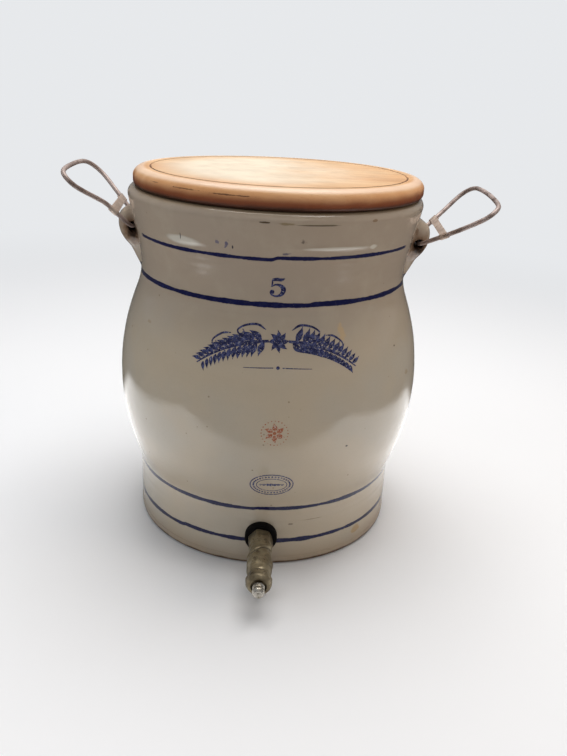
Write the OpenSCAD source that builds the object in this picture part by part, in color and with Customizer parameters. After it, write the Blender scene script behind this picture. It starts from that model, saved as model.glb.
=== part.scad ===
// Stoneware water pot with a turned wooden lid, two wire bail handles and a push-button tap.
// Millimetres, +Z up. The origin is the centre of the underside, and the tap faces -Y.

/* [Pot] */
// Height of the pot from its underside to the top of the rim
pot_h = 354; // [340:1:370]
// Outer radius of the straight foot
foot_r = 139.8; // [138:0.1:141]
// Outer radius of the belly at its widest
belly_r = 158.6; // [156:0.1:162]
// Height of the widest place of the belly
belly_z = 161; // [155:1:166]
// Radius of the curve that the belly follows from foot to waist
belly_curve = 238; // [230:1:250]
// Outer radius of the waist under the collar
waist_r = 135.4; // [133:0.1:137]
// Outer radius of the rounded rim
rim_r = 147.5; // [146:0.1:149]
// Thickness of the wall
wall = 12; // [10:0.5:13]
// Thickness of the base
base = 10; // [9:0.5:12]

/* [Lid] */
// Outer radius of the wooden lid
lid_r = 144; // [141:0.5:146]
// Thickness of the lid above the rim
lid_t = 19; // [17:0.5:22]
// Radius of the ring turned into the top of the lid
lid_ring_r = 127; // [120:0.5:132]
// How far the lid sits to the right of the middle
lid_shift = 2; // [0:0.1:2.2]
// Depth of the plug that drops inside the rim
plug_h = 9; // [6:0.5:12]

/* [Handles] */
// Distance of the right handle's hinge from the pot's axis
right_hinge_x = 147; // [146:0.5:148]
// Height of the right handle's hinge
right_hinge_z = 307; // [305:0.5:309]
// Distance of the left handle's hinge from the pot's axis, for its hole is set a little deeper
left_hinge_x = 142; // [142:0.5:148]
// Height of the left handle's hinge
left_hinge_z = 311; // [305:0.5:312]
// Thickness of the handle wire
wire_d = 4; // [3.6:0.1:4]
// Length of a handle from its hinge to the middle of its grip
grip_s = 85.5; // [85.5:0.1:88]
// Half of the width of the right handle at its grip; the left one is narrower
grip_half = 60.5; // [59:0.5:60.5]
// Tilt of the right handle above the horizontal
right_tilt = 37; // [-80:1:66]
// Tilt of the left handle above the horizontal
left_tilt = 43; // [-78:1:66]
// Width of the flat strap that ties a handle's legs
strap_w = 8; // [6:0.5:9]

/* [Tap] */
// Height of the tap's axis above the underside
tap_z = 34; // [32:0.5:38]
// Outer radius of the rubber washer between tap and pot
washer_r = 16; // [15:0.5:17]
// Thickness of that washer at its middle
washer_t = 6; // [4:0.5:7]
// Outer radius of the tap's barrel
barrel_r = 12; // [11.5:0.1:12.5]
// Length of the spout below the tap's axis
spout_drop = 26; // [22:0.5:27]
// How far the button goes in
button_travel = 4.5; // [3:0.1:4.7]

/* [Hidden] */

glaze = [0.80, 0.78, 0.72];
wood = [0.87, 0.64, 0.42];
steel = [0.52, 0.47, 0.44];
tin = [0.72, 0.66, 0.60];
nickel = [0.50, 0.47, 0.40];
brass = [0.70, 0.57, 0.32];
rubber = [0.07, 0.06, 0.06];

eps = 0.01;

// ---- outline of the pot, as [radius, height] points ----

foot_round = 3;
waist_curve = 70;
collar_lean = 11.5;
lip_round = 7.6;
lip_inner_round = 4;
floor_round = 4;

belly_c = belly_r - belly_curve;
waist_c = waist_r + waist_curve;
waist_z = belly_z + sqrt(pow(belly_curve + waist_curve, 2) - pow(waist_c - belly_c, 2));
join_angle = atan2(waist_z - belly_z, waist_c - belly_c);
lip_z = pot_h - lip_round;
rim_inner_r = waist_r - wall + 8.6;

// Points of an arc about [cr, cz], from angle a0 to angle a1
function arc(cr, cz, r, a0, a1, n) =
    [for (i = [0:n]) let (a = a0 + (a1 - a0) * i / n) [cr + r * cos(a), cz + r * sin(a)]];

// Angle on the belly's curve, moved in by t, where the belly leaves a wall of radius r
function belly_start(r, t) = -acos((r - belly_c) / (belly_curve - t));

// Height at which the straight collar, moved in by t, has radius r
function collar_z(r, t) = waist_z + (waist_curve + t) * sin(collar_lean)
    + (r - waist_c + (waist_curve + t) * cos(collar_lean)) / tan(collar_lean);

// Belly and waist, moved in by t from the outside, above a foot of radius r
function side(r, t, n) = concat(
    arc(belly_c, belly_z, belly_curve - t, belly_start(r, t), join_angle, n),
    arc(waist_c, waist_z, waist_curve + t, 180 + join_angle, 180 - collar_lean, round(n / 2)));

module pot_outline() {
    polygon(concat(
        [[0, 0]],
        arc(foot_r - foot_round, foot_round, foot_round, -90, 0, 5),
        side(foot_r, 0, 26),
        arc(rim_r - lip_round, lip_z, lip_round, -collar_lean, 90, 9),
        [[0, pot_h]]));
}

module pot_hollow() {
    inner_r = foot_r - wall;
    polygon(concat(
        [[0, base]],
        arc(inner_r - floor_round, base + floor_round, floor_round, -90, 0, 5),
        side(inner_r, wall, 22),
        [[rim_inner_r, collar_z(rim_inner_r, wall)]],
        arc(rim_inner_r + lip_inner_round, pot_h - lip_inner_round, lip_inner_round, 180, 90, 5),
        [[rim_inner_r + lip_inner_round, pot_h + 1], [0, pot_h + 1]]));
}

// ---- lugs of the pot: each is a loft of flat sections, one above the other ----

lug_root = 130;
lug_x = 148;
lug_z = 307;
lug_half = 20;
lug_steps = 12;
lug_fan = 10;
bore_r = wire_d / 2 + 0.05;
mouth_r = 6.6;
mouth_y = 7;
mouth_depth = 16;

// Height of a section from lug_z, how far it stands out from lug_x, and its fullness
lug_form = [[-45, -15, 0.1], [-31, -7, 0.3], [-18, -0.5, 0.6], [-9, 7, 0.9], [0, 11, 1],
    [10, 11.5, 1], [17, 9, 0.9], [23, 1.5, 0.7], [27, -6, 0.4]];

// Smooth value of column c of the table t at position u, counted in rows
function blend(t, u, c) = let (i = min(floor(u), len(t) - 2), f = u - i,
    a = t[max(i - 1, 0)][c], b = t[i][c], d = t[i + 1][c], e = t[min(i + 2, len(t) - 1)][c])
    b + f * (d - a) / 2 + f * f * (2 * a - 5 * b + 4 * d - e) / 2
    + f * f * f * (3 * (b - d) + e - a) / 2;

function lug_section(u) = let (reach = lug_x + blend(lug_form, u, 1),
    half = lug_half * (0.45 + 0.55 * blend(lug_form, u, 2)))
    [for (k = [-lug_fan:lug_fan]) let (a = 90 * k / lug_fan, y = pow(abs(sin(a)), 0.9))
        [lug_root + (reach - lug_root) * pow(max(cos(a), 0), 0.7), half * sign(k) * y,
            lug_z + blend(lug_form, u, 0)]];

module lug() {
    levels = lug_steps * 2;
    m = 2 * lug_fan + 1;
    sections = [for (i = [0:levels]) lug_section(i / levels * (len(lug_form) - 1))];
    skin = [for (i = [0:levels - 1]) for (k = [0:m - 1]) let (p = i * m + k, q = i * m + (k + 1) % m)
        each [[p, q + m, q], [p, p + m, q + m]]];
    caps = [for (k = [1:m - 2]) each [[0, k, k + 1],
        [levels * m, levels * m + k + 1, levels * m + k]]];
    polyhedron([for (level = sections) each level], concat(skin, caps));
}

// Hole through a lug, with the wide worn mouths of a pierced and glazed hole
module lug_bore(x, z) {
    translate([x, 0, z]) rotate([90, 0, 0]) {
        cylinder(h = 60, r = bore_r, center = true, $fn = 48);
        for (flip = [0, 1]) mirror([0, 0, flip]) translate([0, 0, mouth_y])
            cylinder(h = mouth_depth, r1 = bore_r, r2 = mouth_r, $fn = 48);
    }
}

module stoneware_pot() color(glaze) difference() {
    union() {
        rotate_extrude($fn = 180) pot_outline();
        lug();
        mirror([1, 0, 0]) lug();
    }
    rotate_extrude($fn = 180) pot_hollow();
    lug_bore(right_hinge_x, right_hinge_z);
    lug_bore(-left_hinge_x, left_hinge_z);
    on_tap_axis() translate([0, 0, -wall - 8]) cylinder(h = wall + 16, r = tap_hole_r, $fn = 64);
}

// ---- lid ----

seat_gap = 0.2;
ring_r = 1.1;

module wooden_lid() color(wood) translate([lid_shift, 0, pot_h + seat_gap]) difference() {
    rotate_extrude($fn = 180) polygon(concat(
        [[0, -plug_h], [rim_inner_r - 4, -plug_h], [rim_inner_r - 2.5, 1.5 - plug_h],
            [rim_inner_r - 2.5, 0]],
        arc(lid_r - 5, 5, 5, -90, 0, 6),
        arc(lid_r - 10, lid_t - 10, 10, 0, 90, 10),
        [[0, lid_t]]));
    translate([0, 0, lid_t]) rotate_extrude($fn = 180)
        translate([lid_ring_r, 0]) circle(ring_r, $fn = 24);
}

// ---- handles, in their own plane: X outwards from the hinge, Y along the hinge ----

end_y = 3;
strap_back_s = 28;
strap_front_s = 24;
strap_t = 1;

// Corners of each hand-bent wire from its back end in the lug round to its front end, and the
// bend at each
right_path = [[0, end_y], [0, 18], [14, 25], [66, 58.5], [grip_s - 2.5, grip_half], [grip_s, 18],
    [grip_s - 6, -grip_half - 6], [55, -67], [0, -18.2], [0, -end_y]];
right_bend = [0, 6, 16, 14, 13, 100, 15, 18, 6, 0];
left_path = [[0, end_y], [0, 20.5], [15, 25.5], [60, 53.5], [grip_s - 7.5, grip_half - 8],
    [grip_s - 1.5, 0], [grip_s - 5, 3 - grip_half], [62, -58], [35, -24.5], [0, -21],
    [0, -end_y]];
left_bend = [0, 6, 16, 12, 15, 90, 13, 12, 16, 6, 0];
back_leg = 2;
right_front_leg = 7;
left_front_leg = 8;

function heading(a, b) = atan2(b[1] - a[1], b[0] - a[0]);

// Turn at corner i, between -180 and 180 degrees
function turn(p, i) = let (t = heading(p[i], p[i + 1]) - heading(p[i - 1], p[i]))
    t > 180 ? t - 360 : t < -180 ? t + 360 : t;

// Length that the bend at corner i takes from each straight beside it
function cut(p, r, i) = i == 0 || i == len(p) - 1 ? 0 : r[i] * tan(abs(turn(p, i)) / 2);

// A round rod of diameter d bent flat along the corners p with radii r. The straights are a
// hair thinner than the bends, so that their ends lie just inside them.
module bent_rod(p, r, d) {
    lap = 0.05;
    for (i = [0:len(p) - 2])
        translate(p[i]) rotate(heading(p[i], p[i + 1])) translate([cut(p, r, i) - lap, 0, 0])
            rotate([0, 90, 0]) cylinder(r = d / 2 - 0.03, $fn = 32,
                h = norm(p[i + 1] - p[i]) - cut(p, r, i) - cut(p, r, i + 1) + 2 * lap);
    for (i = [1:len(p) - 2]) let (a = turn(p, i), s = sign(a))
        translate(p[i]) rotate(heading(p[i - 1], p[i])) translate([-cut(p, r, i), s * r[i], 0])
            rotate(s > 0 ? -90 : 90 + a) rotate_extrude(angle = abs(a), $fn = 96)
                translate([r[i], 0]) circle(d / 2, $fn = 32);
}

// Places a handle drawn in its own plane at a hinge on the right
module at_hinge(x, z, tilt) {
    translate([x, 0, z]) rotate([0, -tilt, 0]) children();
}

module at_right_hinge() {
    at_hinge(right_hinge_x, right_hinge_z, right_tilt) children();
}

module at_left_hinge() {
    mirror([1, 0, 0]) at_hinge(left_hinge_x, left_hinge_z, left_tilt) children();
}

// Place at distance x from the hinge on the leg from corner i of the path p to the next one
function on_leg(p, i, x) = [x, p[i][1] + (x - p[i][0])
    * (p[i + 1][1] - p[i][1]) / (p[i + 1][0] - p[i][0])];

// Flat strap over both legs of the path p, its ends rolled round the wires
module handle_strap(p, front_leg) {
    sleeve_r = wire_d / 2 + 0.05;
    back = on_leg(p, back_leg, strap_back_s);
    front = on_leg(p, front_leg, strap_front_s);
    difference() {
        union() {
            translate([front[0], front[1], sleeve_r + 0.1]) rotate(heading(front, back))
                translate([0, -strap_w / 2, 0])
                    cube([norm(back - front), strap_w, strap_t - 0.25]);
            on_legs(p, front_leg) cylinder(h = strap_w - 1, r = sleeve_r + strap_t,
                center = true, $fn = 40);
        }
        on_legs(p, front_leg) cylinder(h = 3 * strap_w, r = sleeve_r, center = true, $fn = 40);
    }
}

// Places something drawn along Z on both legs, under the strap's ends
module on_legs(p, front_leg) {
    for (end = [[back_leg, strap_back_s], [front_leg, strap_front_s]])
        translate(on_leg(p, end[0], end[1]))
            rotate(heading(p[end[0]], p[end[0] + 1])) rotate([0, 90, 0]) children();
}

module right_handle_wire() color(steel) at_right_hinge() bent_rod(right_path, right_bend, wire_d);
module right_handle_strap() color(tin) at_right_hinge() handle_strap(right_path, right_front_leg);
module left_handle_wire() color(steel) at_left_hinge() bent_rod(left_path, left_bend, wire_d);
module left_handle_strap() color(tin) at_left_hinge() handle_strap(left_path, left_front_leg);

// ---- tap: Z runs outwards along its axis from the foot's surface, Y is up ----

tap_hole_r = 10.2;
shank_r = 9.5;
shank_back = -30;
inner_z = -wall;
rubber_t = 4.5;
metal_t = 1.6;
nut_t = 6;
shoulder_end = washer_t + 10;
neck_z = washer_t + 24;
bulge_z = washer_t + 42;
body_end = washer_t + 60;
thread_end = body_end + 6;
gasket_t = 1;
web_t = 2;
nut_back = body_end + 2;
nut_front = thread_end + gasket_t + 7.5;
seat_z = washer_t + 27;
seat_t = 4;
seat_hole_r = 4;
chamber_r = 7.2;
waterway_r = 4.2;
outlet_r = 5;
outlet_l = 13;
stem_r = 2.5;
stem_gap = 0.06;
spring_end = washer_t + 53;
web_front = thread_end + gasket_t + web_t;
button_back = web_front + 0.3 + button_travel;
button_l = 11.7;

module on_tap_axis() {
    translate([0, -foot_r, tap_z]) rotate([90, 0, 0]) children();
}

module rod(z0, z1, r) {
    translate([0, 0, z0]) cylinder(h = z1 - z0, r = r, $fn = 64);
}

module ring(z0, z1, r, hole) {
    difference() {
        rod(z0, z1, r);
        rod(z0 - 1, z1 + 1, hole);
    }
}

// Hexagonal prism whose flats face up and down, its corners turned off at both ends
module hex_nut(z0, z1, flats) {
    corner = flats / sqrt(3);
    intersection() {
        translate([0, 0, z0]) cylinder(h = z1 - z0, r = corner, $fn = 6);
        rotate_extrude($fn = 64) polygon([[0, z0], [flats / 2, z0], [corner, z0 + 0.8],
            [corner, z1 - 0.8], [flats / 2, z1], [0, z1]]);
    }
}

// The upright wall of the pot seen from the tap: a cylinder of radius r about the pot's axis
module wall_drum(r) {
    translate([0, 0, -foot_r]) rotate([90, 0, 0])
        cylinder(h = 120, r = r, center = true, $fn = 180);
}

module outer_rubber_washer() color(rubber) on_tap_axis() difference() {
    rotate_extrude($fn = 64) difference() {
        translate([shank_r + eps, -3]) square([washer_r - shank_r - eps, washer_t + 3]);
        translate([washer_r - 1.5, washer_t - 1.5]) difference() {
            square(3);
            circle(1.5, $fn = 24);
        }
    }
    wall_drum(foot_r);
}

module inner_rubber_washer() color(rubber) on_tap_axis() intersection() {
    ring(inner_z - rubber_t, inner_z + 3, washer_r - 0.5, shank_r + eps);
    wall_drum(foot_r - wall);
}

module inner_brass_washer() color(brass) on_tap_axis()
    ring(inner_z - rubber_t - metal_t, inner_z - rubber_t, washer_r, shank_r + eps);

module lock_nut() color(brass) on_tap_axis() difference() {
    hex_nut(inner_z - rubber_t - metal_t - nut_t, inner_z - rubber_t - metal_t, 26);
    rod(-60, 0, shank_r + eps);
}

// Outline of the cast barrel: shoulder, neck, bulge over the spout and threaded end
module barrel_outline() {
    bulge_curve = 46;
    polygon(concat(
        [[0, shank_back], [shank_r - 1, shank_back], [shank_r, shank_back + 1], [shank_r, washer_t],
            [barrel_r - 1, washer_t], [barrel_r, washer_t + 1], [barrel_r, shoulder_end + 4]],
        [[barrel_r - 0.9, neck_z]],
        arc(barrel_r + 0.8 - bulge_curve, bulge_z - 2, bulge_curve, -16, 17, 12),
        [[barrel_r - 1.6, body_end], [barrel_r - 2.6, body_end], [barrel_r - 2.6, thread_end],
            [0, thread_end]]));
}

module spout_outline() {
    polygon([[0, 0], [9.6, 0], [9.2, -barrel_r], [7.4, 4 - spout_drop], [8.4, 3 - spout_drop],
        [8.4, 0.8 - spout_drop], [7.6, -spout_drop], [0, -spout_drop]]);
}

module tap_body() color(nickel) on_tap_axis() difference() {
    union() {
        rotate_extrude($fn = 64) barrel_outline();
        intersection() {
            rotate(30) hex_nut(washer_t, shoulder_end, 2 * barrel_r + 0.6);
            rod(washer_t, shoulder_end, barrel_r + 1.1);
        }
        translate([0, 0, bulge_z]) rotate([-90, 0, 0]) rotate_extrude($fn = 64) spout_outline();
    }
    rod(shank_back - 1, seat_z, shank_r - 2.5);
    rod(seat_z - 1, seat_z + seat_t + 1, seat_hole_r);
    rod(seat_z + seat_t, thread_end + 1, chamber_r);
    translate([0, 0, bulge_z]) rotate([90, 0, 0]) {
        rod(0, spout_drop + 1, waterway_r);
        rod(spout_drop - outlet_l, spout_drop + 1, outlet_r);
    }
}

module bonnet_gasket() color(rubber) on_tap_axis()
    ring(thread_end, thread_end + gasket_t, barrel_r - 2.65, chamber_r + 0.2);

module bonnet_nut() color(nickel) on_tap_axis() difference() {
    union() {
        hex_nut(nut_back, nut_front - 3, 2 * barrel_r - 1);
        rotate_extrude($fn = 64) polygon(concat(
            [[0, nut_back + 2], [barrel_r - 1, nut_back + 2], [barrel_r - 1, nut_front - 3.4]],
            arc(barrel_r - 4, nut_front - 3, 3, 0, 90, 6),
            [[0, nut_front]]));
    }
    rod(nut_back - 1, thread_end + gasket_t, barrel_r - 2.6 + eps);
    rod(nut_back, nut_front, stem_r + stem_gap);
    rod(web_front, nut_front + 1, chamber_r);
}

module stem_packing() color(rubber) on_tap_axis()
    ring(thread_end + gasket_t - 3, thread_end + gasket_t, chamber_r - 0.2, stem_r + stem_gap);

module valve_stem() color(brass) on_tap_axis() difference() {
    rod(seat_z - 9, button_back + 5, stem_r);
    translate([0, 0, spring_end + 3]) rotate_extrude($fn = 64)
        translate([stem_r, 0]) circle(0.5, $fn = 24);
}

module valve_washer() color(rubber) on_tap_axis()
    ring(seat_z - 3.3, seat_z - 0.1, seat_hole_r + 1.8, stem_r + eps);

module valve_retainer_nut() color(brass) on_tap_axis() difference() {
    hex_nut(seat_z - 7, seat_z - 3.3, 9);
    rod(seat_z - 10, seat_z, stem_r + eps);
}

module spring_collar() color(brass) on_tap_axis()
    ring(spring_end + 0.05, spring_end + 2.3, chamber_r - 0.8, stem_r + eps);

// ---- return spring: one tube wound round the stem ----

spring_turns = 7;
spring_wire = 1.1;
spring_r = 5.2;
spring_steps = 8;
spring_sides = 6;
spring_z0 = seat_z + seat_t + 0.1 + spring_wire / 2;
spring_z1 = spring_end - spring_wire / 2;
spring_pitch = (spring_z1 - spring_z0) / spring_turns;
spring_n = spring_turns * spring_steps;

// Centre of the wire at step i
function coil(i) = let (a = 360 * i / spring_steps)
    [spring_r * cos(a), spring_r * sin(a), spring_z0 + spring_pitch * i / spring_steps];

// Corner k of the wire's section at step i
function coil_point(i, k) = let (a = 360 * i / spring_steps, b = 360 * k / spring_sides)
    coil(i) + spring_wire / 2 * [cos(b) * cos(a), cos(b) * sin(a), sin(b)];

// Least gap between places on the wire that are at least half a turn apart
spring_gap = min([for (i = [0:spring_n - 5]) for (j = [i + 5:spring_n])
    norm(coil(i) - coil(j))]) - spring_wire;
echo(least_gap_of_the_spring_to_itself = spring_gap);

module return_spring() color(steel) on_tap_axis() {
    points = [for (i = [0:spring_n]) for (k = [0:spring_sides - 1]) coil_point(i, k)];
    skin = [for (i = [0:spring_n - 1]) for (k = [0:spring_sides - 1])
        let (a = i * spring_sides + k, b = i * spring_sides + (k + 1) % spring_sides)
            each [[a, a + spring_sides, b], [b, a + spring_sides, b + spring_sides]]];
    caps = [for (k = [1:spring_sides - 2]) each [[0, k, k + 1],
        [spring_n * spring_sides, spring_n * spring_sides + k + 1, spring_n * spring_sides + k]]];
    polyhedron(points, concat(skin, caps));
}

module push_button() color(nickel) on_tap_axis() difference() {
    rotate_extrude($fn = 64) polygon(concat(
        [[0, button_back], [5.4, button_back], [5.8, button_back + 0.5],
            [5.8, button_back + 4.5], [6.4, button_back + 5.5]],
        arc(3.4, button_back + button_l - 3, 3, 0, 90, 6),
        [[0, button_back + button_l]]));
    rod(button_back - 1, button_back + 5, stem_r + eps);
}

stoneware_pot();
wooden_lid();
right_handle_wire();
right_handle_strap();
left_handle_wire();
left_handle_strap();
outer_rubber_washer();
inner_rubber_washer();
inner_brass_washer();
lock_nut();
tap_body();
bonnet_gasket();
bonnet_nut();
stem_packing();
valve_stem();
valve_washer();
valve_retainer_nut();
spring_collar();
return_spring();
push_button();
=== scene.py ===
"""Looks of a glazed stoneware water pot with a turned wooden lid, wire handles and a tap.

Lengths are metres. X is right, -Y is the front, Z is up. Azimuths run from the front towards +X.
"""

import math
from functools import partialmethod

import bpy
import numpy as np
from mathutils import Matrix, Vector
from mathutils.bvhtree import BVHTree


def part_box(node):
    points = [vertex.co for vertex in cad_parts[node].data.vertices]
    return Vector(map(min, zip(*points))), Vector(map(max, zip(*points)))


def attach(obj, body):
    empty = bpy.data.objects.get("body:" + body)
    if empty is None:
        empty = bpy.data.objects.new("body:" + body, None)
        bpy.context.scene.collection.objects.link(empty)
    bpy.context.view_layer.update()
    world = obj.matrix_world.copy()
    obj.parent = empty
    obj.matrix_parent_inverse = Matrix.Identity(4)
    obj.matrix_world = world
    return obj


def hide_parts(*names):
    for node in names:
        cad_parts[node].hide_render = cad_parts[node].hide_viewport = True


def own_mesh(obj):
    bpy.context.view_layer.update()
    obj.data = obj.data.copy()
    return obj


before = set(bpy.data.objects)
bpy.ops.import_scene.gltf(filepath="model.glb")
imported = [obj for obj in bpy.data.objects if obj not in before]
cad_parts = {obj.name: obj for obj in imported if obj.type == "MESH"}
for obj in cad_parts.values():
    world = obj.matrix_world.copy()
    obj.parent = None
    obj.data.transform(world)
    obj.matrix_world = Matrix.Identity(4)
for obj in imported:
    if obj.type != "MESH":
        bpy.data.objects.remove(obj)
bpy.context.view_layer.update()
MM = 0.001
BACKDROP = (0.80, 0.815, 0.835)


# ---------------------------------------------------------------- camera, floor, light

def place_camera():
    """The photograph's viewpoint: yaw, pitch and roll in degrees, focal length in pixels."""
    place = (0, -0.76678, 0.46264)
    yaw, pitch, roll = (math.radians(a) for a in (1.286, 22.368, 3.090))
    focal_px, tall_px = 745.0, 756.0
    ahead = Vector((math.sin(yaw) * math.cos(pitch), math.cos(yaw) * math.cos(pitch), -math.sin(pitch)))
    level = Vector((math.cos(yaw), -math.sin(yaw), 0))
    upright = level.cross(ahead)
    right = math.cos(roll) * level + math.sin(roll) * upright
    up = -math.sin(roll) * level + math.cos(roll) * upright
    data = bpy.data.cameras.new("camera")
    data.sensor_width = 36
    data.lens = focal_px / tall_px * data.sensor_width
    data.clip_start = 0.01
    data.clip_end = 100
    camera = bpy.data.objects.new("camera", data)
    bpy.context.scene.collection.objects.link(camera)
    turn = Matrix((right, up, -ahead)).transposed()
    camera.matrix_world = Matrix.Translation(place) @ turn.to_4x4()
    bpy.context.scene.camera = camera


def soft_box(name, place, aim, size, power, colour, mirrored=True):
    """An area lamp. Where mirrored is False it lights the object but isn't seen reflected in it."""
    data = bpy.data.lights.new(name, "AREA")
    data.shape = "RECTANGLE"
    data.size, data.size_y = size
    data.energy = power
    data.color = colour
    lamp = bpy.data.objects.new(name, data)
    lamp.location = place
    lamp.rotation_euler = (Vector(aim) - Vector(place)).to_track_quat("-Z", "Y").to_euler()
    lamp.visible_glossy = mirrored
    bpy.context.scene.collection.objects.link(lamp)


def light_scene():
    """Four lamps, a dim fill from all sides, and a plain backdrop that only the camera sees."""
    soft_box("top_light", (0.1, 0.35, 1.9), (0, 0, 0.1), (1.7, 1.3), 35, (1, 0.985, 0.96))
    soft_box("left_light", (-1.7, -0.5, 0.9), (0, 0, 0.2), (0.8, 1.1), 4.6, (0.88, 0.95, 1), False)
    soft_box("right_light", (1.7, -0.4, 0.9), (0, 0, 0.2), (0.8, 1.1), 4.4, (1, 0.80, 0.60), False)
    soft_box("front_light", (0.1, -2.0, 1.7), (0, 0, 0.15), (1.8, 0.7), 2.8, (1, 0.90, 0.78))
    world = bpy.data.worlds.new("world")
    bpy.context.scene.world = world
    world.use_nodes = True
    tree = world.node_tree
    tree.nodes.clear()
    path = tree.nodes.new("ShaderNodeLightPath")
    pick = tree.nodes.new("ShaderNodeMixShader")
    put(tree, pick.inputs[0], path.outputs["Is Camera Ray"])
    for slot, colour, strength in ((1, (0.93, 0.96, 1), 0.25), (2, BACKDROP, 1.0)):
        glow = tree.nodes.new("ShaderNodeBackground")
        put(tree, glow.inputs["Color"], colour)
        put(tree, glow.inputs["Strength"], strength)
        put(tree, pick.inputs[slot], glow.outputs[0])
    out = tree.nodes.new("ShaderNodeOutputWorld")
    put(tree, out.inputs["Surface"], pick.outputs[0])
    bpy.context.scene.view_settings.view_transform = "Standard"


# ---------------------------------------------------------------- nodes of a material

def put(tree, slot, value):
    """Sets a socket, or links it where value is another node's output."""
    if isinstance(value, bpy.types.NodeSocket):
        tree.links.new(value, slot)
    elif isinstance(value, tuple) and slot.type == "RGBA" and len(value) == 3:
        slot.default_value = (*value, 1)
    else:
        slot.default_value = value


def rgb(red, green, blue):
    """A colour as seen on a screen, 0 to 255, in the linear values that nodes take."""
    return tuple(((c / 255 + 0.055) / 1.055) ** 2.4 if c > 10 else c / 3295 for c in (red, green, blue))


class Kit:
    """Short calls for the nodes of one material."""

    def __init__(self, name):
        self.material = bpy.data.materials.new(name)
        self.material.use_nodes = True
        self.tree = self.material.node_tree
        self.shader = self.tree.nodes["Principled BSDF"]
        skin = self.node("TexCoord")
        self.place = skin.outputs["Object"]
        self.facing = skin.outputs["Normal"]

    def node(self, kind, *values, **named):
        """A new node, its sockets set in their order or by their names."""
        node = self.tree.nodes.new("ShaderNode" + kind)
        for slot, value in zip(node.inputs, values):
            put(self.tree, slot, value)
        for name, value in named.items():
            put(self.tree, node.inputs[name], value)
        return node

    def math(self, operation, *values):
        node = self.node("Math", *values)
        node.operation = operation
        return node.outputs[0]

    times = partialmethod(math, "MULTIPLY")
    plus = partialmethod(math, "ADD")
    minus = partialmethod(math, "SUBTRACT")
    absolute = partialmethod(math, "ABSOLUTE")
    larger = partialmethod(math, "MAXIMUM")

    def length(self, x, y):
        """Distance of (x, y) from the origin."""
        return self.math("SQRT", self.plus(self.times(x, x), self.times(y, y)))

    def spread(self, noise, width):
        """An offset to both sides of 0, from noise between 0 and 1."""
        return self.times(self.minus(noise, 0.5), width)

    def split(self, vector):
        return self.node("SeparateXYZ", vector).outputs

    def join(self, x, y, z):
        return self.node("CombineXYZ", x, y, z).outputs[0]

    def scaled(self, vector, factors):
        node = self.node("VectorMath", vector, factors)
        node.operation = "MULTIPLY"
        return node.outputs[0]

    def noise(self, vector, scale, detail=3, rough=0.5, twist=0):
        """Cloudy noise between 0 and 1."""
        node = self.node("TexNoise", Vector=vector, Scale=scale, Detail=detail, Roughness=rough,
                         Distortion=twist)
        return node.outputs["Fac"]

    def cells(self, vector, scale):
        """A pattern of cells, each with a distance from its middle and a random colour."""
        return self.node("TexVoronoi", Vector=vector, Scale=scale)

    def step(self, value, low, high, first=0.0, last=1.0):
        """A smooth change from first, where value is low, to last, where it is high."""
        node = self.node("MapRange", value, low, high, first, last)
        node.interpolation_type = "SMOOTHSTEP"
        return node.outputs[0]

    def mix(self, factor, first, second):
        node = self.tree.nodes.new("ShaderNodeMix")
        node.data_type = "RGBA"
        first_slot, second_slot = 6, 7
        for slot, value in (("Factor", factor), (first_slot, first), (second_slot, second)):
            put(self.tree, node.inputs[slot], value)
        return node.outputs[2]

    def layer(self, mask, strength, under, over):
        """The colour over laid on the colour under where mask is above 0."""
        return self.mix(self.times(mask, strength), under, over)

    def bump(self, height, strength, depth, under=None):
        """A normal roughened by a height, on top of the normal under."""
        node = self.node("Bump", Strength=strength, Distance=depth, Height=height)
        if under is not None:
            put(self.tree, node.inputs["Normal"], under)
        return node.outputs[0]

    def finish(self, colour, rough, metal=0.0, normal=None, **sockets):
        """Sets the surface's colour and the rest of its sockets, and gives the material."""
        sockets.update(Base_Color=colour, Roughness=rough, Metallic=metal)
        if normal is not None:
            sockets["Normal"] = normal
        for name, value in sockets.items():
            put(self.tree, self.shader.inputs[name.replace("_", " ")], value)
        return self.material


# ---------------------------------------------------------------- meshes

def mesh_object(name, points, faces, material, smooth_below=40):
    """A shaded object of its own, smooth where its faces meet at less than smooth_below degrees."""
    mesh = bpy.data.meshes.new(name)
    mesh.from_pydata([tuple(p) for p in points], [], faces)
    mesh.validate()
    mesh.polygons.foreach_set("use_smooth", [True] * len(mesh.polygons))
    mesh.set_sharp_from_angle(angle=math.radians(smooth_below))
    mesh.materials.append(material)
    thing = bpy.data.objects.new(name, mesh)
    bpy.context.scene.collection.objects.link(thing)
    return thing


def grid_faces(rows, columns, closed=True, first=0):
    """Quads of a grid of rows, each row closed into a ring or left open."""
    faces = []
    for i in range(rows - 1):
        for j in range(columns if closed else columns - 1):
            k = (j + 1) % columns
            a, b = first + i * columns, first + (i + 1) * columns
            faces.append((a + j, a + k, b + k, b + j))
    return faces


def ring_of(count):
    """Angles of `count` even steps round a circle, in radians."""
    return np.arange(count) * 2 * math.pi / count


def lathe(name, outline, segments, material, shape=None, place=None):
    """A turned solid from (radius, z) points that begin and end on its axis.

    shape may move its points in and out and along the axis, and place puts them in the scene.
    """
    turns = ring_of(segments)
    rows = np.array(outline[1:-1])
    radii = np.repeat(rows[:, :1], segments, 1)
    heights = np.repeat(rows[:, 1:], segments, 1)
    if shape:
        radii, heights = shape(radii, heights, turns[None, :])
    points = np.stack([radii * np.sin(turns), -radii * np.cos(turns), heights], -1).reshape(-1, 3)
    count = len(rows)
    faces = grid_faces(count, segments)
    low, high = len(points), len(points) + 1
    points = np.vstack([points, [(0, 0, outline[0][1]), (0, 0, outline[-1][1])]])
    if place:
        points = place(points)
    for j in range(segments):
        k = (j + 1) % segments
        faces.append((low, k, j))
        faces.append((high, (count - 1) * segments + j, (count - 1) * segments + k))
    return mesh_object(name, points, faces, material)


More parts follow.
